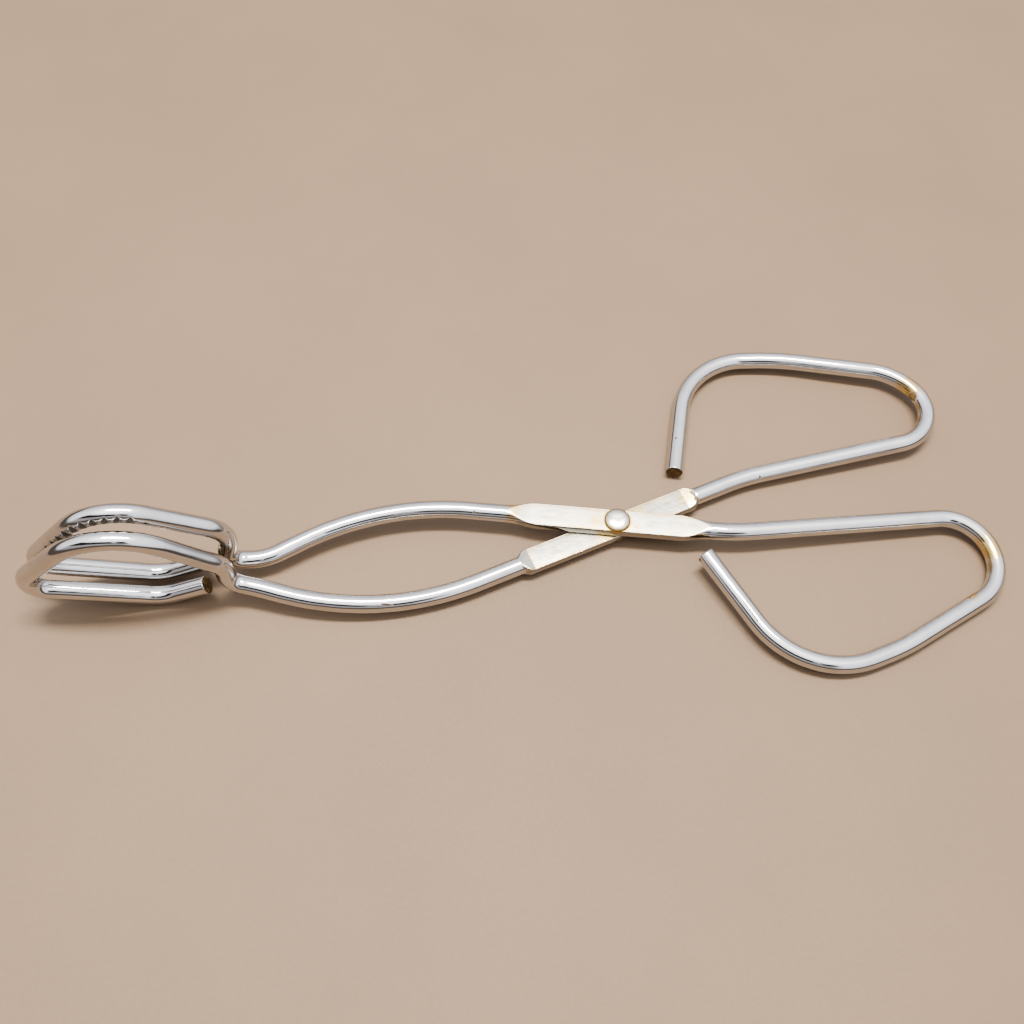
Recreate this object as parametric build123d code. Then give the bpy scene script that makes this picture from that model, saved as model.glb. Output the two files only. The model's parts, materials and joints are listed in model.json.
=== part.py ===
from build123d import *
import math
import os

# Wire crucible tongs: two bent wire arms, forged flat where they cross, held by one rivet.
# Millimetres. +Z is up off the bench, -X points to the jaws and +X to the handles.
# Everything is drawn about the rivet's axis, jaws closed, with the bench at z = 0. The last
# section moves it so that the origin is under the middle of the whole object.

# ---- driving dimensions ----
WIRE_D = 4.76                   # 3/16 in wire
WIRE_R = WIRE_D / 2

FLAT_T = 2.7                    # forged thickness at the crossing
FLAT_W = 6.6                    # forged width at the crossing
FLAT_CORNER = 0.9               # rounded long edges of the flat
FLAT_JAW_END = 24.0             # the full flat reaches this far towards the jaw
FLAT_HANDLE_END = 18.5          # and this far towards the handle
FLAT_BLEND = 5.0                # length over which the flat turns into round wire
CROSS_ANGLE = math.radians(14.45)    # each arm's slant at the crossing

RIVET_R = 2.0                   # shank
RIVET_PLAY = 0.05               # radial running clearance in the upper arm
FACE_PLAY = 0.05                # between the flats, and under the rivet's head
HEAD_R = 3.4
HEAD_H = 1.15
TAIL_R = 3.2
TAIL_H = 1.1
HEAD_RIM = 0.3                  # upright edge below each dome

LOWER_FLAT_Z = 1.9              # underside of the lower flat
UPPER_FLAT_Z = LOWER_FLAT_Z + FLAT_T + FACE_PLAY
LOWER_AXIS_Z = LOWER_FLAT_Z + FLAT_T / 2
UPPER_AXIS_Z = UPPER_FLAT_Z + FLAT_T / 2

JAW_X = -97.6                   # where the arms turn up into the hoops
JAW_GAP = 2.0                   # clear space between the two wires there
NOSE_GAP = 1.0                  # clear space between the hoops' noses
JAW_MID_Y = 1.75                # the closed hoops stand a little to one side
JAW_YAW = math.radians(3.25)    # and run forward at this angle
HOOP_REACH = 45.0               # from the turn-up to the nose

# A hoop seen from the side, each corner given as (forward of JAW_X, height). The two arms
# share these; their other corners are given with each arm, with the bend radius as a third value.
TURN_UP_R = 4.2
HEEL = (18.7, 1.69)
HEEL_R = 10.0
HOOP_END = (7.2, 6.15)

TOOTH_COUNT = 10                # gripping notches across each hoop's inner side
TOOTH_PITCH = 2.7
TOOTH_SIDE = 1.4                # square bar that cuts one notch
TOOTH_DEPTH = 0.7
TOOTH_START = 3.5               # the first notch is this far into the crest's bend


# ---- wire along straight runs and tangent bends ----
def bent_wire(points, radii):
    """Centre line through the points, with a tangent arc at each inner one."""
    points = [Vector(*point) for point in points]
    edges = []
    start = points[0]
    for before, corner, after, radius in zip(points, points[1:], points[2:], radii):
        way_in = (corner - before).normalized()
        way_out = (after - corner).normalized()
        half_turn = math.radians(way_in.get_angle(way_out)) / 2
        trim = radius * math.tan(half_turn)
        arc_start = corner - way_in * trim
        arc_end = corner + way_out * trim
        inward = (way_out - way_in).normalized()
        arc_middle = corner + inward * (radius / math.cos(half_turn) - radius)
        edges.append(Edge.make_line(start, arc_start))
        edges.append(Edge.make_three_point_arc(arc_start, arc_middle, arc_end))
        start = arc_end
    edges.append(Edge.make_line(start, points[-1]))
    return Wire(edges)


def round_bar(path):
    section = Plane(origin=path @ 0, z_dir=path % 0) * Circle(WIRE_R)
    return sweep(section, path=path)


# ---- the forged flat ----
def slant_direction(side):
    """Along an arm's flat towards its jaw; side is +1 for the arm whose jaw lies at +Y."""
    return Vector(-math.cos(CROSS_ANGLE), side * math.sin(CROSS_ANGLE), 0)


def along_flat(side, axis_z, distance):
    return Vector(0, 0, axis_z) + slant_direction(side) * distance


def forged_flat(side, axis_z):
    toward_jaw = slant_direction(side)

    def station(distance):
        return Plane(
            origin=along_flat(side, axis_z, distance),
            x_dir=Vector(0, 0, 1).cross(toward_jaw),
            z_dir=toward_jaw,
        )

    wide = RectangleRounded(FLAT_W, FLAT_T, FLAT_CORNER)
    wire_end = Circle(WIRE_R)
    jaw_end = FLAT_JAW_END
    handle_end = -FLAT_HANDLE_END
    slab = extrude(station(handle_end) * wide, FLAT_JAW_END + FLAT_HANDLE_END)
    jaw_blend = loft([station(jaw_end) * wide, station(jaw_end + FLAT_BLEND) * wire_end])
    handle_blend = loft([station(handle_end - FLAT_BLEND) * wire_end, station(handle_end) * wide])
    return slab + jaw_blend + handle_blend


# ---- jaws ----
def hoop_frame(side):
    """Start and forward direction of one hoop; the noses close in a little."""
    half_back = (WIRE_D + JAW_GAP) / 2
    half_front = (WIRE_D + NOSE_GAP) / 2
    toe_in = math.atan((half_back - half_front) / HOOP_REACH)
    start = Vector(JAW_X, JAW_MID_Y + side * half_back, 0)
    angle = JAW_YAW - side * toe_in
    return start, Vector(-math.cos(angle), math.sin(angle), 0)


def jaw_path(side, axis_z, bow_at, bow_r, neck, neck_r, turn_up, shoulder, crest, nose):
    """From the flat, out along the bow, up at the jaw and round the hoop; bow_at is on the slant."""
    start, forward = hoop_frame(side)

    def on_hoop(reach, height):
        return start + forward * reach + Vector(0, 0, height)

    points = [along_flat(side, axis_z, FLAT_JAW_END + FLAT_BLEND)]
    points += [along_flat(side, axis_z, bow_at)]
    points += [Vector(*neck)]
    points += [on_hoop(*turn_up)]
    points += [on_hoop(*corner[:2]) for corner in (shoulder, crest, nose)]
    points += [on_hoop(*HEEL), on_hoop(*HOOP_END)]
    radii = [bow_r, neck_r, TURN_UP_R, shoulder[2], crest[2], nose[2], HEEL_R]
    return bent_wire(points, radii)


def hoop_teeth(side, path, crest_start):
    """Square bars that cut the V notches in a hoop's inner side."""
    start, forward = hoop_frame(side)
    inner = Vector(0, 0, 1).cross(forward) * side
    out = WIRE_R + TOOTH_SIDE / math.sqrt(2) - TOOTH_DEPTH
    cutters = []
    for number in range(TOOTH_COUNT):
        place = crest_start + TOOTH_START + number * TOOTH_PITCH
        point = path.position_at(place, position_mode=PositionMode.LENGTH)
        tangent = path.tangent_at(place, position_mode=PositionMode.LENGTH)
        across = tangent.cross(inner)
        bar_plane = Plane(origin=point + inner * out, x_dir=inner + tangent, z_dir=across)
        cutters.append(bar_plane * Box(TOOTH_SIDE, TOOTH_SIDE, 2 * WIRE_D))
    return cutters


# ---- handles ----
def handle_path(side, axis_z, corners, radii, rise):
    """From the flat round an open loop; rise is the loop's slope along X and along Y."""
    first = along_flat(side, axis_z, -corners[0])
    points = [along_flat(side, axis_z, -FLAT_HANDLE_END - FLAT_BLEND), first]
    for x, y in corners[1:]:
        lift = rise[0] * (x - first.X) + rise[1] * (y - first.Y)
        points += [Vector(x, y, axis_z + lift)]
    return bent_wire(points, radii)


# ---- one whole arm ----
def length_to_crest(path):
    """Length of centre line before the crest's bend, whose edge is sixth from the end."""
    edges = path.edges()
    return sum(edge.length for edge in edges[:-6])


def make_arm(side, axis_z, hole_r, jaw, handle):
    jaw_line = jaw_path(side, axis_z, **jaw)
    arm = forged_flat(side, axis_z)
    arm += round_bar(jaw_line)
    arm += round_bar(handle_path(side, axis_z, **handle))
    arm -= Pos(0, 0, axis_z) * Cylinder(hole_r, 2 * FLAT_T)
    for cutter in hoop_teeth(side, jaw_line, length_to_crest(jaw_line)):
        arm -= cutter
    return arm


def upper_arm():
    jaw = dict(
        bow_at=61.3,
        bow_r=74.5,
        neck=(-90.1, 4.3, 5.0),
        neck_r=15.5,
        turn_up=(2.6, 5.3),
        shoulder=(-1.2, 20.1, 8.2),
        crest=(26.1, 38.35, 14.6),
        nose=(48.3, 14.2, 4.4),
    )
    handle = dict(
        corners=[30.5, (141.3, -14.65), (64.3, -44.2), (36.6, -50.0), (20.55, -12.6)],
        radii=[60.0, 12.3, 60.0, 24.0],
        rise=(-0.028, 0.069),
    )
    return make_arm(1, UPPER_AXIS_Z, RIVET_R + RIVET_PLAY, jaw, handle)


def lower_arm():
    jaw = dict(
        bow_at=65.3,
        bow_r=76.0,
        neck=(-93.2, -3.85, 6.5),
        neck_r=30.0,
        turn_up=(2.0, 6.7),
        shoulder=(1.7, 15.8, 6.4),
        crest=(25.5, 39.1, 17.0),
        nose=(52.3, 13.4, 5.4),
    )
    handle = dict(
        corners=[38.8, (101.7, 14.2), (89.6, 35.9), (57.4, 46.4), (32.0, 49.8), (19.6, 14.4)],
        radii=[60.0, 11.3, 18.0, 80.0, 20.0],
        rise=(0.025, -0.006),
    )
    return make_arm(-1, LOWER_AXIS_Z, RIVET_R, jaw, handle)


# ---- the rivet ----
def rivet_dome(radius, height):
    """Low dome on the XY plane."""
    outline = [
        Line((0, 0), (radius, 0)),
        Line((radius, 0), (radius, HEAD_RIM)),
        Line((0, height), (0, 0)),
    ]
    crown_start = (radius, HEAD_RIM)
    chord = math.hypot(radius, height - HEAD_RIM)
    crown_r = chord**2 / (2 * (height - HEAD_RIM))
    crown = CenterArc((0, height - crown_r), crown_r, 90, -math.degrees(math.asin(radius / crown_r)))
    profile = make_face([outline[0], outline[1], crown, outline[2]])
    return revolve(Plane.XZ * profile, axis=Axis.Z)


def rivet():
    head_z = UPPER_FLAT_Z + FLAT_T + FACE_PLAY
    shank_h = head_z - LOWER_FLAT_Z
    shank = Pos(0, 0, LOWER_FLAT_Z + shank_h / 2) * Cylinder(RIVET_R, shank_h)
    head = Pos(0, 0, head_z) * rivet_dome(HEAD_R, HEAD_H)
    tail = Pos(0, 0, LOWER_FLAT_Z) * (Rot(180, 0, 0) * rivet_dome(TAIL_R, TAIL_H))
    return shank + head + tail


# ---- place the origin under the middle and write the parts ----
PARTS = {"upper_arm": upper_arm(), "lower_arm": lower_arm(), "rivet": rivet()}
boxes = [shape.bounding_box() for shape in PARTS.values()]
low = Vector(*(min(getattr(box.min, axis) for box in boxes) for axis in "XYZ"))
high = Vector(*(max(getattr(box.max, axis) for box in boxes) for axis in "XYZ"))
shift = Vector(-(low.X + high.X) / 2, -(low.Y + high.Y) / 2, -low.Z)
os.makedirs("parts", exist_ok=True)
for name, shape in PARTS.items():
    export_step(shape.moved(Location(shift)), f"parts/{name}.step")
print("rivet axis at", tuple(round(value, 3) for value in (shift.X, shift.Y, shift.Z)))
print("size", tuple(round(value, 2) for value in high - low))
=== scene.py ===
import json
import math

import bmesh
import bpy
import numpy as np
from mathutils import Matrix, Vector, noise


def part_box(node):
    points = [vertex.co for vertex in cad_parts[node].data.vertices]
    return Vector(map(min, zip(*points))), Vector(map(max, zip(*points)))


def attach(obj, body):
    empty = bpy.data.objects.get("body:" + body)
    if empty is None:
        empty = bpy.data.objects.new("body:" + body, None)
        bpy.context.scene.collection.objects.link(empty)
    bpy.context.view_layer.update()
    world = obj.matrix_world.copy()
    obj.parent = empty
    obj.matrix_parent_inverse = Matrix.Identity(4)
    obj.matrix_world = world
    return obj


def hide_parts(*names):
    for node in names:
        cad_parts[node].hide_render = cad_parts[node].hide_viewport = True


# Wire crucible tongs, lying closed on a pale bench. Metres, in the frame of the CAD model.
# Lengths written below as a number times MM are in millimetres.
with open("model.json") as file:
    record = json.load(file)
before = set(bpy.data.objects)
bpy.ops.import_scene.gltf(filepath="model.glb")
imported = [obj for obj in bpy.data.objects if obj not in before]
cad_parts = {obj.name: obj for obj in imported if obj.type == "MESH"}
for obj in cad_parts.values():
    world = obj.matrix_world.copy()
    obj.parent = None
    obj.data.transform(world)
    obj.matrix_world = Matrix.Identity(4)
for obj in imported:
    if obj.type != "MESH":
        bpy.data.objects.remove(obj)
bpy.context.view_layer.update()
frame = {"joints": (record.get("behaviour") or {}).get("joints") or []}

MM = 0.001
pivot = frame["joints"][0]["pos_m"]
RIVET_FOOT_Z = 0.8 * MM         # lowest point of the rivet's tail, above the bench
# Drawing positions are given from the rivet's axis at bench height; this moves them into the frame.
ORIGIN = Vector((pivot[0], pivot[1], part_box("rivet")[0].z - RIVET_FOOT_Z))

# ---- dimensions shared with the CAD parts ----
WIRE_R = 2.38 * MM
FLAT_HALF_T = 1.35 * MM
FLAT_HALF_W = 3.3 * MM
CROSS_ANGLE = math.radians(14.45)
LOWER_AXIS_Z = 3.25 * MM
UPPER_AXIS_Z = 6.0 * MM

JAW_X = -97.6 * MM
JAW_GAP = 2.0 * MM
NOSE_GAP = 1.0 * MM
JAW_MID_Y = 1.75 * MM
JAW_YAW = math.radians(3.25)
HOOP_REACH = 45.0 * MM
HEEL = (18.7 * MM, 1.69 * MM)
HEEL_R = 10.0 * MM
HOOP_END = (7.2 * MM, 6.15 * MM)
TURN_UP_R = 4.2 * MM

CROWN = 0.09 * MM               # fall of a flat's face from its middle to its edges
CROWN_POWER = 2.5
PRESS_ROUNDING = 0.16 * MM      # softness of the line where the round wire was pressed flat
WIRE_ROUNDING = 0.001 * MM      # next to none where it was not

BEND_SQUASH = 0.22 * MM         # flattening on the inner side of a bend, times its curvature
BEND_SQUASH_MOST = 0.07
BEND_BLUR = 9                   # rings over which it comes and goes
SKIN_WAVES = 0.018 * MM         # depth of the long waves in the drawn wire
WAVE_SIZE = 9 * MM
SKIN_DENTS = 0.010 * MM         # depth of the small dents
DENT_SIZE = 2.6 * MM
NECK_DENTS = 0.020 * MM         # added where the neck was worked, over this stretch from the rivet
NECK_WORKED = (66 * MM, 80 * MM, 95 * MM, 112 * MM)

NOTCH_COUNT = 10
NOTCH_PITCH = 2.7 * MM
NOTCH_DEPTH = 0.7 * MM
NOTCH_HALF_W = 0.92 * MM
NOTCH_START = 3.5 * MM
LAND_DEPTH = 0.12 * MM          # wear of the lands between the notches

# Each cut end: how much and which way the sheared face leans, and the share of the wire's width
# that its rim keeps. Each ring inside it has its share of the rim's width and its lift.
SHEAR = 0.12
SHEAR_TILT = (0.35, 0.2, 0.5)
END_PINCH = 0.94
CUT_RINGS = ((0.87, 0.10 * MM), (0.62, 0.13 * MM), (0.34, 0.10 * MM))
CUT_ROUGH = 0.07 * MM
CUT_ROUGH_SIZE = 0.7 * MM
CUT_MIDDLE = 0.05 * MM

RIVET_HEAD_Z = 7.4 * MM
HEAD_R = 3.4 * MM
HEAD_H = 1.15 * MM
HEAD_POWER = 3.6                # how flat the hammered crown is
HEAD_DENT = 0.12 * MM           # most that the hammer took off it
RIVET_TAIL_Z = 1.9 * MM
TAIL_R = 3.2 * MM
TAIL_H = 1.1 * MM
HEAD_RIM = 0.3 * MM
RIVET_R = 2.0 * MM

# ---- mesh fineness ----
AROUND = 72
HEAD_STEPS = 24
TAIL_STEPS = 12
COARSE = 0.55 * MM
FINE = 0.22 * MM

# pieces of an arm's route, counted from the hoop's cut end
CREST_PIECES = 6                # up to the far end of the crest's bend
CROSSING_RUN = 14               # the straight run that crosses the rivet's axis


# ---- centre lines: straight runs joined by tangent arcs ----
def make_route(points, radii):
    """List of (length, start, direction, inward, radius); inward is None on a straight run."""
    pieces = []
    start = points[0]
    for before, corner, after, radius in zip(points, points[1:], points[2:], radii):
        way_in = (corner - before).normalized()
        way_out = (after - corner).normalized()
        turn = way_in.angle(way_out)
        trim = radius * math.tan(turn / 2)
        arc_start = corner - way_in * trim
        pieces.append(((arc_start - start).length, start, way_in, None, None))
        inward = (way_out - way_in * way_in.dot(way_out)).normalized()
        pieces.append((radius * turn, arc_start, way_in, inward, radius))
        start = corner + way_out * trim
    last = points[-1] - start
    pieces.append((last.length, start, last.normalized(), None, None))
    return pieces


def on_route(pieces, distance):
    """Point, direction and curvature vector at a distance along the route."""
    for length, start, way, inward, radius in pieces:
        if distance <= length or pieces[-1][1] == start:
            break
        distance -= length
    if inward is None:
        return start + way * distance, way, Vector()
    turn = distance / radius
    point = start + (way * math.sin(turn) + inward * (1 - math.cos(turn))) * radius
    direction = way * math.cos(turn) + inward * math.sin(turn)
    return point, direction, (inward * math.cos(turn) - way * math.sin(turn)) / radius


def route_length(pieces):
    return sum(piece[0] for piece in pieces)


def slant(side):
    """Along an arm's flat towards its jaw; side is +1 for the arm whose jaw lies at +Y."""
    return Vector((-math.cos(CROSS_ANGLE), side * math.sin(CROSS_ANGLE), 0))


def hoop_frame(side):
    """Start of one hoop and its forward direction."""
    half_back = WIRE_R + JAW_GAP / 2
    half_front = WIRE_R + NOSE_GAP / 2
    toe_in = math.atan((half_back - half_front) / HOOP_REACH)
    angle = JAW_YAW - side * toe_in
    start = Vector((JAW_X, JAW_MID_Y + side * half_back, 0))
    return start, Vector((-math.cos(angle), math.sin(angle), 0))


def arm_route(arm):
    """Whole wire of one arm, from the hoop's cut end to the handle's, and its bends."""
    side = arm["side"]
    start, forward = hoop_frame(side)

    def on_hoop(reach, height):
        return start + forward * reach + Vector((0, 0, height))

    hoop = [arm["nose"], arm["crest"], arm["shoulder"]]
    points = [on_hoop(*HOOP_END), on_hoop(*HEEL)]
    points += [on_hoop(*corner[:2]) for corner in hoop]
    points.append(on_hoop(*arm["turn_up"]))
    points.append(Vector(arm["neck"]))
    axis = Vector((0, 0, arm["axis_z"]))
    points.append(axis + slant(side) * arm["bow_at"])
    first = axis - slant(side) * arm["handle_start"]
    points.append(first)
    for x, y in arm["handle"]:
        lift = arm["rise"][0] * (x - first.x) + arm["rise"][1] * (y - first.y)
        points.append(Vector((x, y, arm["axis_z"] + lift)))
    radii = [HEEL_R] + [corner[2] for corner in hoop]
    radii += [TURN_UP_R, arm["neck_r"], arm["bow_r"]] + arm["handle_radii"]
    return make_route([point + ORIGIN for point in points], radii)


def in_mm(*values):
    return tuple(value * MM for value in values)


UPPER = dict(
    name="upper_arm_wire",
    node="upper_arm",
    body="upper",
    slot="upper_plating",
    side=1,
    axis_z=UPPER_AXIS_Z,
    bow_at=61.3 * MM,
    bow_r=74.5 * MM,
    neck=in_mm(-90.1, 4.3, 5.0),
    neck_r=15.5 * MM,
    turn_up=in_mm(2.6, 5.3),
    shoulder=in_mm(-1.2, 20.1, 8.2),
    crest=in_mm(26.1, 38.35, 14.6),
    nose=in_mm(48.3, 14.2, 4.4),
    handle_start=30.5 * MM,
    handle=[in_mm(141.3, -14.65), in_mm(64.3, -44.2), in_mm(36.6, -50.0), in_mm(20.55, -12.6)],
    handle_radii=[60.0 * MM, 12.3 * MM, 60.0 * MM, 24.0 * MM],
    rise=(-0.028, 0.069),
    # how the forged flat ends, towards the jaw and towards the handle
    flat_ends=dict(full=(21.5 * MM, 17.2 * MM), tip=(27.8 * MM, 23.4 * MM), crisp=False),
    seed=3.0,
)
LOWER = dict(
    name="lower_arm_wire",
    node="lower_arm",
    body="lower",
    slot="lower_plating",
    side=-1,
    axis_z=LOWER_AXIS_Z,
    bow_at=65.3 * MM,
    bow_r=76.0 * MM,
    neck=in_mm(-93.2, -3.85, 6.5),
    neck_r=30.0 * MM,
    turn_up=in_mm(2.0, 6.7),
    shoulder=in_mm(1.7, 15.8, 6.4),
    crest=in_mm(25.5, 39.1, 17.0),
    nose=in_mm(52.3, 13.4, 5.4),
    handle_start=38.8 * MM,
    handle=[
        in_mm(101.7, 14.2),
        in_mm(89.6, 35.9),
        in_mm(57.4, 46.4),
        in_mm(32.0, 49.8),
        in_mm(19.6, 14.4),
    ],
    handle_radii=[60.0 * MM, 11.3 * MM, 18.0 * MM, 80.0 * MM, 20.0 * MM],
    rise=(0.025, -0.006),
    flat_ends=dict(full=(24.6 * MM, 20.4 * MM), tip=(27.0 * MM, 23.2 * MM), crisp=True),
    seed=11.0,
)


# ---- small numeric helpers ----
def smooth(low, high, value):
    share = np.clip((value - low) / (high - low), 0, 1)
    return share * share * (3 - 2 * share)


def soft_min(values, limit, width):
    """The smaller of the two, with the corner between them rounded over width."""
    gap = np.clip(0.5 + 0.5 * (limit - values) / width, 0, 1)
    return limit * (1 - gap) + values * gap - width * gap * (1 - gap)


def wobble(points, size, seed):
    """Smooth noise between -1 and 1 at each point."""
    scale = 1 / size
    return np.array([noise.noise(Vector(point) * scale + Vector((seed, 0, 0))) for point in points])


# ---- one arm as a swept skin ----
def station_list(total, pivot_at, notches):
    """Distances along the wire, closer together where the section changes quickly."""
    places = []
    here = 0.0
    while here < total:
        places.append(here)
        from_pivot = abs(here - pivot_at)
        near_notch = notches[0] - 3 * MM < here < notches[-1] + 3 * MM
        near_flat_end = 15 * MM < from_pivot < 30 * MM
        near_cut = min(here, total - here) < 2 * MM
        here += FINE if near_notch or near_flat_end or near_cut else COARSE
    places.append(total)
    for notch in notches:
        for offset in (-NOTCH_HALF_W, 0, NOTCH_HALF_W):
            places = [place for place in places if abs(place - notch - offset) > 0.08 * MM]
            places.append(notch + offset)
    return np.array(sorted(places))


def carried_frames(ways, start_index):
    """Up and side directions, carried along the wire from the flat without twisting."""
    ups = [None] * len(ways)
    ups[start_index] = Vector((0, 0, 1))
    for step in (1, -1):
        index = start_index + step
        while 0 <= index < len(ways):
            carried = ups[index - step] - ways[index] * ups[index - step].dot(ways[index])
            ups[index] = carried.normalized()
            index += step
    return ups


def flat_profile(arm, from_pivot):
    """Half width, half thickness and squareness of the forged section."""
    ends = arm["flat_ends"]
    toward_jaw = from_pivot < 0
    distance = np.abs(from_pivot)
    full = np.where(toward_jaw, ends["full"][0], ends["full"][1])
    tip = np.where(toward_jaw, ends["tip"][0], ends["tip"][1])
    if ends["crisp"]:
        ramp = 0.7 * np.clip((distance - full) / (tip - full), 0, 1)
        ramp = ramp + 0.3 * smooth(tip, tip + 0.6 * MM, distance)
        widen = 1 - smooth(tip - 1.4 * MM, tip + 0.8 * MM, distance)
    else:
        ramp = smooth(full, tip + 2.2 * MM, distance)
        widen = 1 - smooth(full - 1.0 * MM, tip + 0.8 * MM, distance)
    half_t = FLAT_HALF_T + (WIRE_R * 1.02 - FLAT_HALF_T) * ramp
    half_w = WIRE_R + (FLAT_HALF_W - WIRE_R) * widen
    square = 2.0 + 1.2 * widen
    return half_w, half_t, square


def length_to_pivot(arm, pieces):
    before = sum(piece[0] for piece in pieces[:CROSSING_RUN])
    run_start = pieces[CROSSING_RUN][1]
    return before + (ORIGIN + Vector((0, 0, arm["axis_z"])) - run_start).length


def notch_places(pieces):
    """Distances of the notches along the wire, counted back from the crest's far end."""
    crest_end = sum(piece[0] for piece in pieces[:CREST_PIECES])
    first = crest_end - NOTCH_START
    return sorted(first - number * NOTCH_PITCH for number in range(NOTCH_COUNT))


def forged_section(arm, from_pivot, angle):
    """Across and height of each skin point, the half widths, and where it was pressed flat."""
    half_w, half_t, square = flat_profile(arm, from_pivot)
    cos_a, sin_a = np.cos(angle), np.sin(angle)
    power = (2 / square)[:, None]
    across = half_w[:, None] * np.sign(cos_a) * np.abs(cos_a) ** power
    height = WIRE_R * np.sign(sin_a) * np.abs(sin_a) ** power
    limit = np.repeat(half_t[:, None], AROUND, axis=1)
    rounding = np.where(half_t < WIRE_R, PRESS_ROUNDING, WIRE_ROUNDING)[:, None]
    pressed = soft_min(np.abs(height), limit, rounding)
    forged = smooth(0.02 * MM, 0.12 * MM, np.abs(height) - pressed)
    crown = CROWN * (np.abs(across) / half_w[:, None]) ** CROWN_POWER
    height = np.sign(height) * (pressed - crown * forged)
    return across, height, half_w, forged


def bend_flattening(offset, curving):
    """How far each point moves because a bend flattens the wire towards its inner side."""
    window = np.hanning(BEND_BLUR)
    window /= window.sum()
    bend = np.stack([np.convolve(curving[:, axis], window, "same") for axis in range(3)], 1)
    strength = np.linalg.norm(bend, axis=1)
    inward = bend / np.maximum(strength, 1e-9)[:, None]
    squash = np.minimum(BEND_SQUASH * strength, BEND_SQUASH_MOST)
    along_bend = np.einsum("ijk,ik->ij", offset, inward)
    return (along_bend * squash[:, None])[..., None] * inward[:, None, :]


def cut_notches(arm, offset, places, notches):
    """Gripping notches on the side that faces the other jaw, and the mask of their dark fill: painted
    shade in the notch hollows, with some soot.
    """
    _, forward = hoop_frame(arm["side"])
    inner = np.array(Vector((0, 0, 1)).cross(forward) * arm["side"])
    nearest = np.min(np.abs(places[:, None] - np.array(notches)[None, :]), axis=1)
    reach_limit = WIRE_R - NOTCH_DEPTH * (1 - nearest / NOTCH_HALF_W)
    toothed = smooth(notches[0] - 3 * MM, notches[0] - MM, places)
    toothed *= 1 - smooth(notches[-1] + MM, notches[-1] + 3 * MM, places)
    land_limit = WIRE_R - LAND_DEPTH * toothed + 0.05 * MM * (1 - toothed)
    reach_limit = np.minimum(reach_limit, land_limit)
    reach = offset @ inner
    cut = np.maximum(reach - reach_limit[:, None], 0)
    cut[places > notches[-1] + 2 * MM] = 0
    in_notch = 1 - smooth(0.95 * NOTCH_HALF_W, 1.15 * NOTCH_HALF_W, nearest)
    # painted shade: the cut notches and their rims are marked for a dark fill that stands in for shade
    # in the hollows and the shaded jaw they reflect; some of it is soot
    notch_shade_and_soot_mask = smooth(0, 0.06 * MM, cut) * (0.5 + 0.5 * in_notch)[:, None]
    return offset - cut[..., None] * inner, notch_shade_and_soot_mask


def worn_skin(arm, centres, offset, from_pivot):
    """Uneven drawing and handling marks, always inwards."""
    skin = centres[:, None, :] + offset
    points = skin.reshape(-1, 3)
    long_waves = wobble(points, WAVE_SIZE, arm["seed"]).reshape(skin.shape[:2])
    short_waves = wobble(points, DENT_SIZE, arm["seed"] + 5).reshape(skin.shape[:2])
    begin, full, last, end = NECK_WORKED
    worked = smooth(begin, full, -from_pivot) * (1 - smooth(last, end, -from_pivot))
    dents = SKIN_DENTS + NECK_DENTS * worked
    shrink = SKIN_WAVES * (1 + long_waves) + dents[:, None] * (1 + short_waves)
    outward = offset / np.linalg.norm(offset, axis=2, keepdims=True)
    return skin - outward * shrink[..., None]


def edge_marks(across, height, half_w):
    """Where a flat's rim and its upright side walls are."""
    spread = smooth(WIRE_R * 1.02, WIRE_R * 1.15, half_w)[:, None]
    rim = np.exp(-((np.abs(across) - half_w[:, None] * 0.82) / (0.38 * MM)) ** 2)
    edge = rim * spread * smooth(0, 0.5 * MM, np.abs(height))
    wall = smooth(0.87, 0.96, np.abs(across) / half_w[:, None]) * spread
    return dict(edge=edge, wall=wall)


def build_arm(arm):
    pieces = arm_route(arm)
    pivot_at = length_to_pivot(arm, pieces)
    notches = notch_places(pieces)
    places = station_list(route_length(pieces), pivot_at, notches)
    rows = [on_route(pieces, place) for place in places]
    centres = np.array([row[0] for row in rows])
    ways = [row[1] for row in rows]
    curving = np.array([row[2] for row in rows])
    start_index = int(np.argmin(np.abs(places - pivot_at)))
    ups = carried_frames(ways, start_index)
    sides = np.array([way.cross(up) for way, up in zip(ways, ups)])
    ups = np.array(ups)

    from_pivot = places - pivot_at
    angle = np.linspace(0, 2 * math.pi, AROUND, endpoint=False)
    across, height, half_w, forged = forged_section(arm, from_pivot, angle)
    offset = across[..., None] * sides[:, None, :] + height[..., None] * ups[:, None, :]
    offset -= bend_flattening(offset, curving)
    offset, notch_shade_and_soot_mask = cut_notches(arm, offset, places, notches)
    skin = worn_skin(arm, centres, offset, from_pivot)

    # the "cut" mark carries the painted notch shade, with some soot
    marks = dict(forged=forged, cut=notch_shade_and_soot_mask)
    marks.update(edge_marks(across, height, half_w))
    marks["along"] = np.repeat(places[:, None], AROUND, axis=1)
    marks["girth"] = np.repeat((angle * WIRE_R)[None, :], len(places), axis=0)
    return close_skin(arm, skin, ways, marks)


def ring_quads(rings):
    """Faces between neighbouring rings of points, facing outwards."""
    faces = []
    for row in range(rings - 1):
        here, there = row * AROUND, (row + 1) * AROUND
        for column in range(AROUND):
            after = (column + 1) % AROUND
            faces.append((here + column, there + column, there + after, here + after))
    return faces


def close_skin(arm, skin, ways, marks):
    """Joins the rings into quads and closes both cut ends."""
    vertices = list(skin.reshape(-1, 3))
    values = {name: list(np.asarray(mark).reshape(-1)) for name, mark in marks.items()}
    values["bare"] = [0.0] * len(vertices)
    faces = ring_quads(len(skin))
    for row, sign in ((0, -1), (len(skin) - 1, 1)):
        ring = list(range(row * AROUND, (row + 1) * AROUND))
        out = np.array(ways[row]) * sign
        caps = cut_end(arm, vertices, values, ring, out)
        faces += caps if sign > 0 else [face[::-1] for face in caps]
    return mesh_object(arm["name"], vertices, faces, values)


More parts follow.
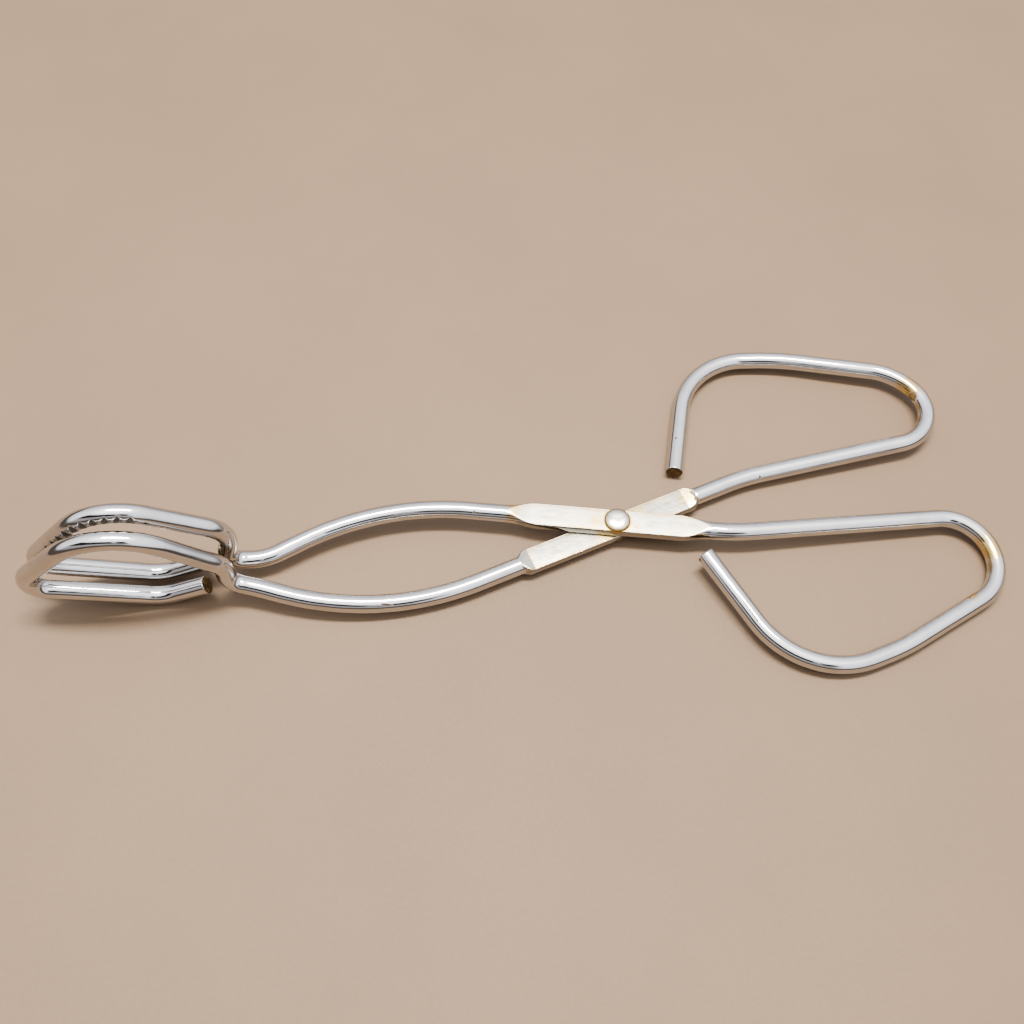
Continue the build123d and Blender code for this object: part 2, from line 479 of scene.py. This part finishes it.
def cut_end(arm, vertices, values, ring, out):
    """Sheared, slightly uneven face over one end ring; adds its points and returns its faces."""
    centre = np.mean([vertices[index] for index in ring], axis=0)
    tilt = np.array(SHEAR_TILT) * arm["side"]
    for index in ring:
        lean = np.dot(vertices[index] - centre, tilt)
        vertices[index] = vertices[index] + out * lean * SHEAR
        vertices[index] = centre + (vertices[index] - centre) * END_PINCH
        values["bare"][index] = 1.0
    faces = []
    rim = ring
    for scale, lift in CUT_RINGS:
        new_ring = []
        for index in rim:
            outer = vertices[index]
            rough = noise.noise(Vector(outer) / CUT_ROUGH_SIZE + Vector((arm["seed"], scale, 0)))
            point = centre + (outer - centre) * scale + out * (lift + CUT_ROUGH * rough)
            new_ring.append(len(vertices))
            vertices.append(point)
            for data in values.values():
                data.append(data[index])
        for column in range(AROUND):
            after = (column + 1) % AROUND
            faces.append((ring[column], new_ring[column], new_ring[after], ring[after]))
        ring = new_ring
    middle = len(vertices)
    vertices.append(centre + out * CUT_MIDDLE)
    for data in values.values():
        data.append(data[ring[0]])
    for column in range(AROUND):
        faces.append((ring[column], middle, ring[(column + 1) % AROUND]))
    return faces


def mesh_object(name, vertices, faces, values):
    mesh = bpy.data.meshes.new(name)
    mesh.from_pydata([tuple(vertex) for vertex in vertices], [], faces)
    mesh.validate()
    mesh.shade_smooth()
    for label, data in values.items():
        layer = mesh.attributes.new(label, "FLOAT", "POINT")
        layer.data.foreach_set("value", np.asarray(data, np.float32))
    mesh.update()
    piece = bpy.data.objects.new(name, mesh)
    bpy.context.scene.collection.objects.link(piece)
    return piece


# ---- the rivet ----
def build_rivet():
    """Turned profile of head, shank and tail, with a slightly battered crown."""
    profile = []
    for step in range(TAIL_STEPS + 1):
        share = step / TAIL_STEPS
        drop = (TAIL_H - HEAD_RIM) * (1 - share**2)
        profile.append((TAIL_R * share, RIVET_TAIL_Z - HEAD_RIM - drop))
    profile.append((TAIL_R, RIVET_TAIL_Z - 0.1 * MM))
    profile.append((TAIL_R - 0.15 * MM, RIVET_TAIL_Z))
    profile.append((RIVET_R, RIVET_TAIL_Z))
    profile.append((RIVET_R, RIVET_HEAD_Z))
    profile.append((HEAD_R - 0.25 * MM, RIVET_HEAD_Z))
    profile.append((HEAD_R - 0.05 * MM, RIVET_HEAD_Z + 0.08 * MM))
    profile.append((HEAD_R, RIVET_HEAD_Z + HEAD_RIM * 0.7))
    for step in range(HEAD_STEPS, -1, -1):
        share = step / HEAD_STEPS
        rise = (HEAD_H - HEAD_RIM) * (1 - share**HEAD_POWER)
        profile.append((HEAD_R * min(share, 0.985), RIVET_HEAD_Z + HEAD_RIM + rise))
    vertices = []
    for radius, z in profile:
        for column in range(AROUND):
            angle = 2 * math.pi * column / AROUND
            point = Vector((radius * math.cos(angle), radius * math.sin(angle), z))
            if z > RIVET_HEAD_Z:
                dent = 0.5 + 0.5 * noise.noise(point / (1.5 * MM) + Vector((4, 0, 0)))
                point.z -= HEAD_DENT * dent * min(1, (z - RIVET_HEAD_Z) / (0.5 * MM))
                wave = noise.noise(Vector((math.cos(angle), math.sin(angle), 7)) * 1.3)
                point.xy *= 1 - 0.02 * abs(wave)
            vertices.append(point + ORIGIN)
    piece = mesh_object("rivet_turned", vertices, ring_quads(len(profile)), {})
    weld(piece)
    return piece


def weld(piece):
    """Merges the points that meet on the turning axis and turns all faces outwards."""
    work = bmesh.new()
    work.from_mesh(piece.data)
    bmesh.ops.remove_doubles(work, verts=work.verts, dist=1e-7)
    bmesh.ops.recalc_face_normals(work, faces=work.faces)
    work.to_mesh(piece.data)
    work.free()
    piece.data.shade_smooth()


# ---- materials ----
class Nodes:
    """Short helpers for the node tree of a material or of the world."""

    def __init__(self, owner):
        owner.use_nodes = True
        self.owner = owner
        self.tree = owner.node_tree

    def add(self, kind, inputs=None, **settings):
        node = self.tree.nodes.new(kind)
        for key, value in settings.items():
            setattr(node, key, value)
        for key, value in (inputs or {}).items():
            self.set(node, key, value)
        return node

    def set(self, node, key, value):
        if isinstance(value, bpy.types.NodeSocket):
            self.tree.links.new(value, node.inputs[key])
        else:
            node.inputs[key].default_value = value

    def mark(self, name):
        return self.add("ShaderNodeAttribute", attribute_name=name).outputs["Fac"]

    def place(self):
        return self.add("ShaderNodeTexCoord").outputs["Object"]

    def math(self, operation, a, b=0.0, clamp=False):
        node = self.add("ShaderNodeMath", {0: a, 1: b}, operation=operation, use_clamp=clamp)
        return node.outputs[0]

    def ramp(self, value, low, high):
        """0 below low, 1 above high, smooth between."""
        inputs = {"Value": value, "From Min": low, "From Max": high}
        node = self.add("ShaderNodeMapRange", inputs, interpolation_type="SMOOTHSTEP")
        return node.outputs["Result"]

    def band(self, value, outer_low, low, high, outer_high):
        """1 between low and high, fading to 0 at the outer values."""
        rising = self.ramp(value, outer_low, low)
        return self.math("MULTIPLY", rising, self.ramp(value, outer_high, high))

    def noise(self, vector, scale, detail=3.0, rough=0.55, distort=0.0):
        inputs = {"Vector": vector, "Scale": scale, "Detail": detail, "Roughness": rough}
        inputs["Distortion"] = distort
        return self.add("ShaderNodeTexNoise", inputs).outputs["Fac"]

    def mix(self, share, a, b):
        node = self.add("ShaderNodeMix", data_type="RGBA")
        self.set(node, 0, share)
        self.set(node, 6, a)
        self.set(node, 7, b)
        return node.outputs[2]

    def stretched(self, along, across):
        """Coordinates on the wire's own skin: distance along it and round it."""
        inputs = {
            0: self.math("MULTIPLY", self.mark("along"), along),
            1: self.math("MULTIPLY", self.mark("girth"), across),
        }
        return self.add("ShaderNodeCombineXYZ", inputs).outputs[0]

    def spot(self, centre, radius, soft, break_up, scale=900.0):
        """1 inside a ragged patch round a point given from the rivet's axis."""
        where = Vector(centre) * MM + ORIGIN
        inputs = {0: self.place(), 1: where}
        node = self.add("ShaderNodeVectorMath", inputs, operation="DISTANCE")
        ragged = self.math("MULTIPLY", self.noise(self.place(), scale), break_up * MM)
        edge = self.math("ADD", node.outputs["Value"], ragged)
        middle = (radius + break_up / 2) * MM
        return self.ramp(edge, middle + soft * MM, middle)

    def streak(self, start, end, radius, soft, break_up):
        """1 along a ragged line between two points given from the rivet's axis."""
        first = Vector(start) * MM + ORIGIN
        run = (Vector(end) - Vector(start)) * MM
        away = self.vector("SUBTRACT", self.place(), first)
        inputs = {0: away, 1: run / run.length_squared}
        share = self.add("ShaderNodeVectorMath", inputs, operation="DOT_PRODUCT")
        held = self.math("ADD", share.outputs["Value"], 0.0, True)
        scale = self.add("ShaderNodeVectorMath", {0: run}, operation="SCALE")
        self.set(scale, "Scale", held)
        off = self.vector("SUBTRACT", away, scale.outputs[0])
        gap = self.add("ShaderNodeVectorMath", {0: off}, operation="LENGTH").outputs["Value"]
        ragged = self.math("MULTIPLY", self.noise(self.place(), 1500.0), break_up * MM)
        middle = (radius + break_up / 2) * MM
        return self.ramp(self.math("ADD", gap, ragged), middle + soft * MM, middle)

    def vector(self, operation, a, b):
        return self.add("ShaderNodeVectorMath", {0: a, 1: b}, operation=operation).outputs[0]

    def bump(self, height, distance, strength=1.0, normal=None):
        inputs = {"Height": height, "Distance": distance, "Strength": strength}
        if normal is not None:
            inputs["Normal"] = normal
        return self.add("ShaderNodeBump", inputs).outputs["Normal"]

    def finish(self, **values):
        shader = self.tree.nodes["Principled BSDF"]
        for key, value in values.items():
            self.set(shader, key.replace("_", " "), value)
        return self.owner


BRIGHT = (0.60, 0.587, 0.575, 1)
CLOUDY = (0.49, 0.473, 0.452, 1)
SATIN = (0.555, 0.53, 0.45, 1)
WORN_SATIN = (0.37, 0.345, 0.28, 1)
SMEAR = (0.39, 0.373, 0.35, 1)
# painted shade for the flats' upright side walls
WALL_PAINTED_SHADE = (0.25, 0.237, 0.21, 1)
STRAW = (0.56, 0.375, 0.12, 1)
OLIVE = (0.34, 0.24, 0.06, 1)
RUST = (0.060, 0.026, 0.008, 1)
RAW_STEEL = (0.085, 0.058, 0.028, 1)
# near-black for the notches' painted shade (with some soot) and for the pits
SOOT_AND_PAINTED_SHADE = (0.022, 0.017, 0.012, 1)
RIVET_BRIGHT = (0.64, 0.62, 0.56, 1)
RIVET_DULL = (0.52, 0.495, 0.435, 1)
RIVET_RIM = (0.16, 0.095, 0.02, 1)
BENCH_PALE = (0.096, 0.0555, 0.0258, 1)
BENCH_DARK = (0.086, 0.0495, 0.0226, 1)


def largest(nodes, shares):
    total = shares[0]
    for share in shares[1:]:
        total = nodes.math("MAXIMUM", total, share)
    return total


def plating(name, marks, flat_rough):
    """Nickel-plated wire: drawn lines, rubbed satin flats, tarnish and a little rust."""
    n = Nodes(bpy.data.materials.new(name))
    place = n.place()
    forged = n.mark("forged")
    clouds = n.ramp(n.noise(place, 160.0, 4.0), 0.42, 0.72)
    streaks = n.noise(n.stretched(90.0, 2600.0), 1.0, 4.0, 0.7)
    lines = n.noise(n.stretched(26.0, 7000.0), 1.0, 2.0, 0.8)
    scuffs = n.noise(place, 2400.0, 5.0, 0.7, 1.2)
    peel = n.noise(place, 700.0, 2.0)
    rubbed = n.noise(n.stretched(120.0, 900.0), 1.0, 4.0, 0.6)

    colour = n.mix(n.math("MULTIPLY", clouds, 0.6), BRIGHT, CLOUDY)
    smears = n.noise(n.stretched(60.0, 1100.0), 1.0, 4.0, 0.6)
    smears = n.math("MULTIPLY", n.ramp(smears, 0.5, 0.8), 0.55)
    colour = n.mix(smears, colour, SMEAR)
    satin = n.mix(n.ramp(rubbed, 0.44, 0.72), SATIN, WORN_SATIN)
    colour = n.mix(forged, colour, satin)
    # painted shade: the flats' upright side walls are greyed to stand in for the darker reflection
    # they show
    colour = n.mix(n.math("MULTIPLY", n.mark("wall"), 0.9), colour, WALL_PAINTED_SHADE)

    # straw tarnish: round the rivet, along the flats' edges, and in patches
    halo = n.spot((0, 0, 6.9), 3.35, 1.1, 0.9)
    edges = n.math("MULTIPLY", n.mark("edge"), n.ramp(n.noise(place, 230.0, 3.0), 0.34, 0.58))
    faint = n.math("MULTIPLY", forged, n.ramp(n.noise(place, 330.0, 4.0), 0.50, 0.74))
    shares = [halo, edges, n.math("MULTIPLY", faint, 0.6)]
    straw = largest(n, shares + [n.spot(*spot) for spot in marks["straw"]])
    straw = n.math("MULTIPLY", straw, n.math("SUBTRACT", 1.0, n.mark("wall")))
    colour = n.mix(n.math("MULTIPLY", straw, 0.85), colour, STRAW)
    ring = n.spot((0, 0, 7.4), 3.45, 0.35, 0.5, 1500.0)
    olive = largest(n, [ring] + [n.spot(*spot) for spot in marks["olive"]])
    colour = n.mix(n.math("MULTIPLY", olive, 0.85), colour, OLIVE)

    # rust, raw cut ends, painted shade with some soot in the notches, pits and scratches
    rust = largest(n, [n.spot(*spot) for spot in marks["rust"]])
    bare = n.math("MULTIPLY", n.mark("bare"), 1.0, True)
    notch_shade_and_soot = n.math("MULTIPLY", n.mark("cut"), n.ramp(scuffs, 0.05, 0.40), True)
    nicks = [n.spot(*spot) for spot in marks["pits"]]
    nicks += [n.streak(*streak) for streak in marks["scratches"]]
    pits = largest(n, nicks)
    # painted shade: the notches are filled near-black so they read as shaded hollows; partly soot
    colour = n.mix(n.math("MULTIPLY", notch_shade_and_soot, 0.96), colour, SOOT_AND_PAINTED_SHADE)
    colour = n.mix(pits, colour, n.mix(n.ramp(scuffs, 0.45, 0.6), SOOT_AND_PAINTED_SHADE, RUST))
    colour = n.mix(bare, colour, n.mix(n.ramp(peel, 0.55, 0.75), RAW_STEEL, OLIVE))
    colour = n.mix(rust, colour, n.mix(n.ramp(scuffs, 0.50, 0.66), RUST, OLIVE))

    # the painted notch shade (with some soot) also takes the metal's shine away there
    dull = largest(n, [rust, n.math("MULTIPLY", notch_shade_and_soot, 0.8), pits])
    metallic = n.math("SUBTRACT", 1.0, n.math("MULTIPLY", dull, 0.8))
    rough = n.math("ADD", 0.045, n.math("MULTIPLY", n.ramp(streaks, 0.35, 0.8), 0.09))
    rough = n.math("ADD", rough, n.math("MULTIPLY", clouds, 0.08))
    satin_rough = n.math("ADD", flat_rough, n.math("MULTIPLY", scuffs, 0.16))
    rough = n.math("ADD", rough, n.math("MULTIPLY", forged, satin_rough))
    worn = largest(n, [bare, rust, n.math("MULTIPLY", olive, 0.5), n.math("MULTIPLY", notch_shade_and_soot, 0.7)])
    rough = n.math("ADD", rough, n.math("MULTIPLY", worn, 0.38), True)

    normal = n.bump(peel, 0.004 * MM, 0.5)
    normal = n.bump(lines, 0.0016 * MM, 0.6, normal)
    normal = n.bump(streaks, 0.003 * MM, 0.4, normal)
    hammered = n.math("MULTIPLY", forged, n.noise(place, 420.0, 3.0))
    normal = n.bump(hammered, 0.09 * MM, 0.6, normal)
    grain = n.math("MULTIPLY", scuffs, n.math("ADD", 0.05, n.math("ADD", forged, worn)))
    normal = n.bump(grain, 0.012 * MM, 0.7, normal)
    return n.finish(Base_Color=colour, Metallic=metallic, Roughness=rough, Normal=normal)


def rivet_steel():
    n = Nodes(bpy.data.materials.new("rivet_plated_steel"))
    place = n.place()
    offset = n.add("ShaderNodeVectorMath", {0: place, 1: ORIGIN}, operation="SUBTRACT")
    flatten = n.add("ShaderNodeVectorMath", {0: offset.outputs[0], 1: (1, 1, 0)}, operation="MULTIPLY")
    length = n.add("ShaderNodeVectorMath", {0: flatten.outputs[0]}, operation="LENGTH")
    radius = length.outputs["Value"]
    mottled = n.noise(place, 900.0, 4.0, 0.6)
    ragged = n.math("ADD", radius, n.math("MULTIPLY", mottled, 0.35 * MM))
    rim = n.ramp(ragged, 3.02 * MM, 3.30 * MM)
    blush = n.math("MULTIPLY", n.ramp(ragged, 2.5 * MM, 3.4 * MM), 0.6)
    scuffs = n.noise(place, 3200.0, 5.0, 0.7, 0.8)
    colour = n.mix(n.ramp(mottled, 0.35, 0.7), RIVET_BRIGHT, RIVET_DULL)
    colour = n.mix(blush, colour, STRAW)
    colour = n.mix(rim, colour, RIVET_RIM)
    rough = n.math("ADD", 0.24, n.math("MULTIPLY", scuffs, 0.16))
    rough = n.math("ADD", rough, n.math("MULTIPLY", rim, 0.2))
    normal = n.bump(mottled, 0.06 * MM, 0.6)
    normal = n.bump(scuffs, 0.012 * MM, 0.6, normal)
    return n.finish(Base_Color=colour, Metallic=1.0, Roughness=rough, Normal=normal)


def bench_top():
    """Pale, faintly mottled bench."""
    n = Nodes(bpy.data.materials.new("pale_bench"))
    place = n.place()
    mottle = n.noise(place, 14.0, 4.0, 0.6)
    grain = n.noise(place, 900.0, 3.0, 0.7)
    colour = n.mix(n.ramp(mottle, 0.3, 0.7), BENCH_PALE, BENCH_DARK)
    rough = n.math("ADD", 0.62, n.math("MULTIPLY", grain, 0.15))
    normal = n.bump(grain, 0.05 * MM, 0.35)
    return n.finish(Base_Color=colour, Roughness=rough, Normal=normal)


# ---- build ----
upper = build_arm(UPPER)
lower = build_arm(LOWER)
rivet = build_rivet()

# Marks, in mm from the rivet's axis. A spot is its centre, radius, soft edge and raggedness; a
# scratch is its two ends and the same three.
UPPER_MARKS = dict(
    straw=[
        ((95.5, -21.5, 4), 2.0, 4.0, 2.5),
        ((86.0, -34, 4), 0.6, 2.0, 1.5),
        ((-25.8, 7.9, 7.4), 0.9, 1.8, 1.4),
        ((-26.6, 5.8, 7.2), 0.8, 1.6, 1.2),
        ((-5.6, 0.8, 7.3), 0.6, 2.4, 2.0),
        ((4.4, -2.6, 7.3), 0.2, 1.2, 1.2),
    ],
    olive=[((95.0, -23.0, 5.5), 0.9, 2.2, 2.0), ((93.4, -26.6, 4.0), 0.6, 1.8, 1.6)],
    rust=[((18.4, -13.9, 6.4), 0.55, 0.4, 0.6)],
    pits=[((-36.3, 7.9, 7.9), 0.25, 0.2, 0.3)],
    scratches=[((22.0, -15.5, 7.6), (28.5, -32.9, 6.6), 0.14, 0.14, 0.34)],
)
LOWER_MARKS = dict(
    straw=[
        ((91.0, 29.5, 6), 2.2, 2.5, 2.0),
        ((20.5, 5.6, 4.6), 1.2, 2.0, 1.5),
        ((-3.2, -3.6, 4.6), 1.5, 2.6, 1.6),
        ((5.8, 4.4, 4.6), 1.5, 3.0, 1.8),
    ],
    olive=[
        ((92.2, 28.6, 5.2), 0.9, 1.3, 1.2),
        ((92.4, 23.4, 3.6), 1.1, 2.0, 1.6),
        ((91.0, 19.0, 4.6), 0.5, 2.0, 1.5),
    ],
    rust=[((91.7, 26.8, 5.3), 1.3, 0.5, 1.0), ((22.8, 4.2, 5.2), 0.5, 0.4, 0.6)],
    pits=[((41.5, 8.2, 5.0), 0.3, 0.25, 0.4), ((22.1, 23.8, 5.1), 0.25, 0.2, 0.4)],
    scratches=[
        ((-62.8, -13.2, 5.8), (-60.4, -13.9, 5.8), 0.22, 0.2, 0.3),
        ((21.5, 7.4, 4.4), (22.3, 5.6, 5.6), 0.30, 0.2, 0.3),
        ((22.3, 5.6, 5.6), (23.1, 3.4, 4.6), 0.30, 0.2, 0.3),
    ],
)
upper.data.materials.append(plating("upper_nickel_plate", UPPER_MARKS, flat_rough=0.24))
lower.data.materials.append(plating("lower_nickel_plate", LOWER_MARKS, flat_rough=0.10))
rivet.data.materials.append(rivet_steel())

for piece, arm in ((upper, UPPER), (lower, LOWER)):
    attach(piece, arm["body"])
    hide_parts(arm["node"])
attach(rivet, "lower")
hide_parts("rivet")


# ---- stage ----
BENCH_HALF = 3.0
LAMP_AT = (0.02, 0.14, 1.04)
LAMP_SIZE = (0.6, 0.13)
LAMP_POWER = 58.0
LAMP_COLOUR = (1.0, 0.93, 0.83)
ROOM_STRENGTH = 5.3

# colour of the room at each height of the direction looked in, from the horizon up
SKY = (
    (0.0, (0.06, 0.055, 0.05, 1)),
    (0.18, (0.10, 0.095, 0.095, 1)),
    (0.38, (0.38, 0.39, 0.43, 1)),
    (0.84, (0.56, 0.575, 0.62, 1)),
    (0.95, (1.0, 0.99, 0.97, 1)),
)
FAR_SIDE = (0.14, 0.14, 0.16, 1)
DIM_CORNER = (0.065, 0.06, 0.06, 1)
FIGURE = (0.004, 0.003, 0.003, 1)
DARK_WALL = (0.022, 0.017, 0.014, 1)


def floor():
    corners = [(x * BENCH_HALF, y * BENCH_HALF, 0) for x, y in ((-1, -1), (1, -1), (1, 1), (-1, 1))]
    bench = mesh_object("bench", corners, [(0, 1, 2, 3)], {})
    bench.data.materials.append(bench_top())
    return bench


floor()


def overhead_lamp():
    data = bpy.data.lights.new("overhead", "AREA")
    data.shape = "RECTANGLE"
    data.size, data.size_y = LAMP_SIZE
    data.energy = LAMP_POWER
    data.color = LAMP_COLOUR
    lamp = bpy.data.objects.new("overhead", data)
    lamp.location = LAMP_AT
    lamp.rotation_euler = (-Vector(LAMP_AT)).to_track_quat("-Z", "Y").to_euler()
    bpy.context.scene.collection.objects.link(lamp)


overhead_lamp()


def sky_colour(n, z):
    sky = n.add("ShaderNodeValToRGB", {"Fac": z})
    stops = sky.color_ramp.elements
    first, *middle, last = SKY
    for stop, (position, tint) in ((stops[0], first), (stops[1], last)):
        stop.position = position
        stop.color = tint
    for position, tint in middle:
        stops.new(position).color = tint
    return sky.outputs["Color"]


def surroundings():
    """Soft room, bright above and dark towards the horizon; dark shapes stand on the near side."""
    world = bpy.data.worlds.new("room")
    bpy.context.scene.world = world
    n = Nodes(world)
    n.tree.nodes.clear()
    direction = n.add("ShaderNodeTexCoord").outputs["Generated"]
    x, y, z = n.add("ShaderNodeSeparateXYZ", {0: direction}).outputs
    colour = sky_colour(n, z)

    # the far side is dimmer, and so is the corner near and to the left
    far = n.math("MULTIPLY", n.ramp(y, 0.25, 0.95), 0.45)
    colour = n.mix(far, colour, FAR_SIDE)
    corner = n.math("MULTIPLY", n.band(z, 0.12, 0.20, 0.54, 0.64), n.ramp(y, -0.10, -0.30))
    corner = n.math("MULTIPLY", corner, n.ramp(x, 0.26, 0.06))
    colour = n.mix(n.math("MULTIPLY", corner, 0.8), colour, DIM_CORNER)

    # someone stands there, with a small bright gap
    figure = n.band(z, 0.51, 0.54, 0.77, 0.80)
    figure = n.math("MULTIPLY", figure, n.ramp(y, -0.10, -0.20))
    figure = n.math("MULTIPLY", figure, n.ramp(x, 0.26, 0.18))
    gap = n.math("MULTIPLY", n.band(x, -0.08, -0.06, 0.0, 0.02), n.band(z, 0.62, 0.635, 0.695, 0.71))
    figure = n.math("MULTIPLY", figure, n.math("SUBTRACT", 1.0, gap))
    colour = n.mix(figure, colour, FIGURE)

    # a dark wall low down, near and to the left
    around = n.math("MAXIMUM", n.ramp(y, -0.2, -0.4), n.ramp(x, -0.35, -0.60))
    wall = n.math("MULTIPLY", n.band(z, -0.30, -0.20, 0.22, 0.30), around)
    colour = n.mix(n.math("MULTIPLY", wall, 0.96), colour, DARK_WALL)
    background = n.add("ShaderNodeBackground", {"Color": colour, "Strength": ROOM_STRENGTH})
    output = n.add("ShaderNodeOutputWorld")
    n.tree.links.new(background.outputs[0], output.inputs["Surface"])


surroundings()

# ---- camera: looking down at about 60 degrees from the near handle's side ----
CAMERA_AT = Vector((-35.28, -129.02, 255.84)) * MM
CAMERA_RIGHT = Vector((0.98395, -0.17494, 0.03534))
CAMERA_AHEAD = Vector((0.11568, 0.47439, -0.87268))
CAMERA_LENS = 38.63
SENSOR_WIDTH = 36.0


def camera():
    data = bpy.data.cameras.new("camera")
    data.lens = CAMERA_LENS
    data.sensor_width = SENSOR_WIDTH
    data.clip_start = 0.01
    view = bpy.data.objects.new("camera", data)
    ahead = CAMERA_AHEAD.normalized()
    right = (CAMERA_RIGHT - ahead * CAMERA_RIGHT.dot(ahead)).normalized()
    up = right.cross(ahead)
    matrix = view.matrix_world.to_3x3()
    matrix.col[0] = right
    matrix.col[1] = up
    matrix.col[2] = -ahead
    view.matrix_world = matrix.to_4x4()
    view.location = CAMERA_AT
    bpy.context.scene.collection.objects.link(view)
    bpy.context.scene.camera = view


camera()
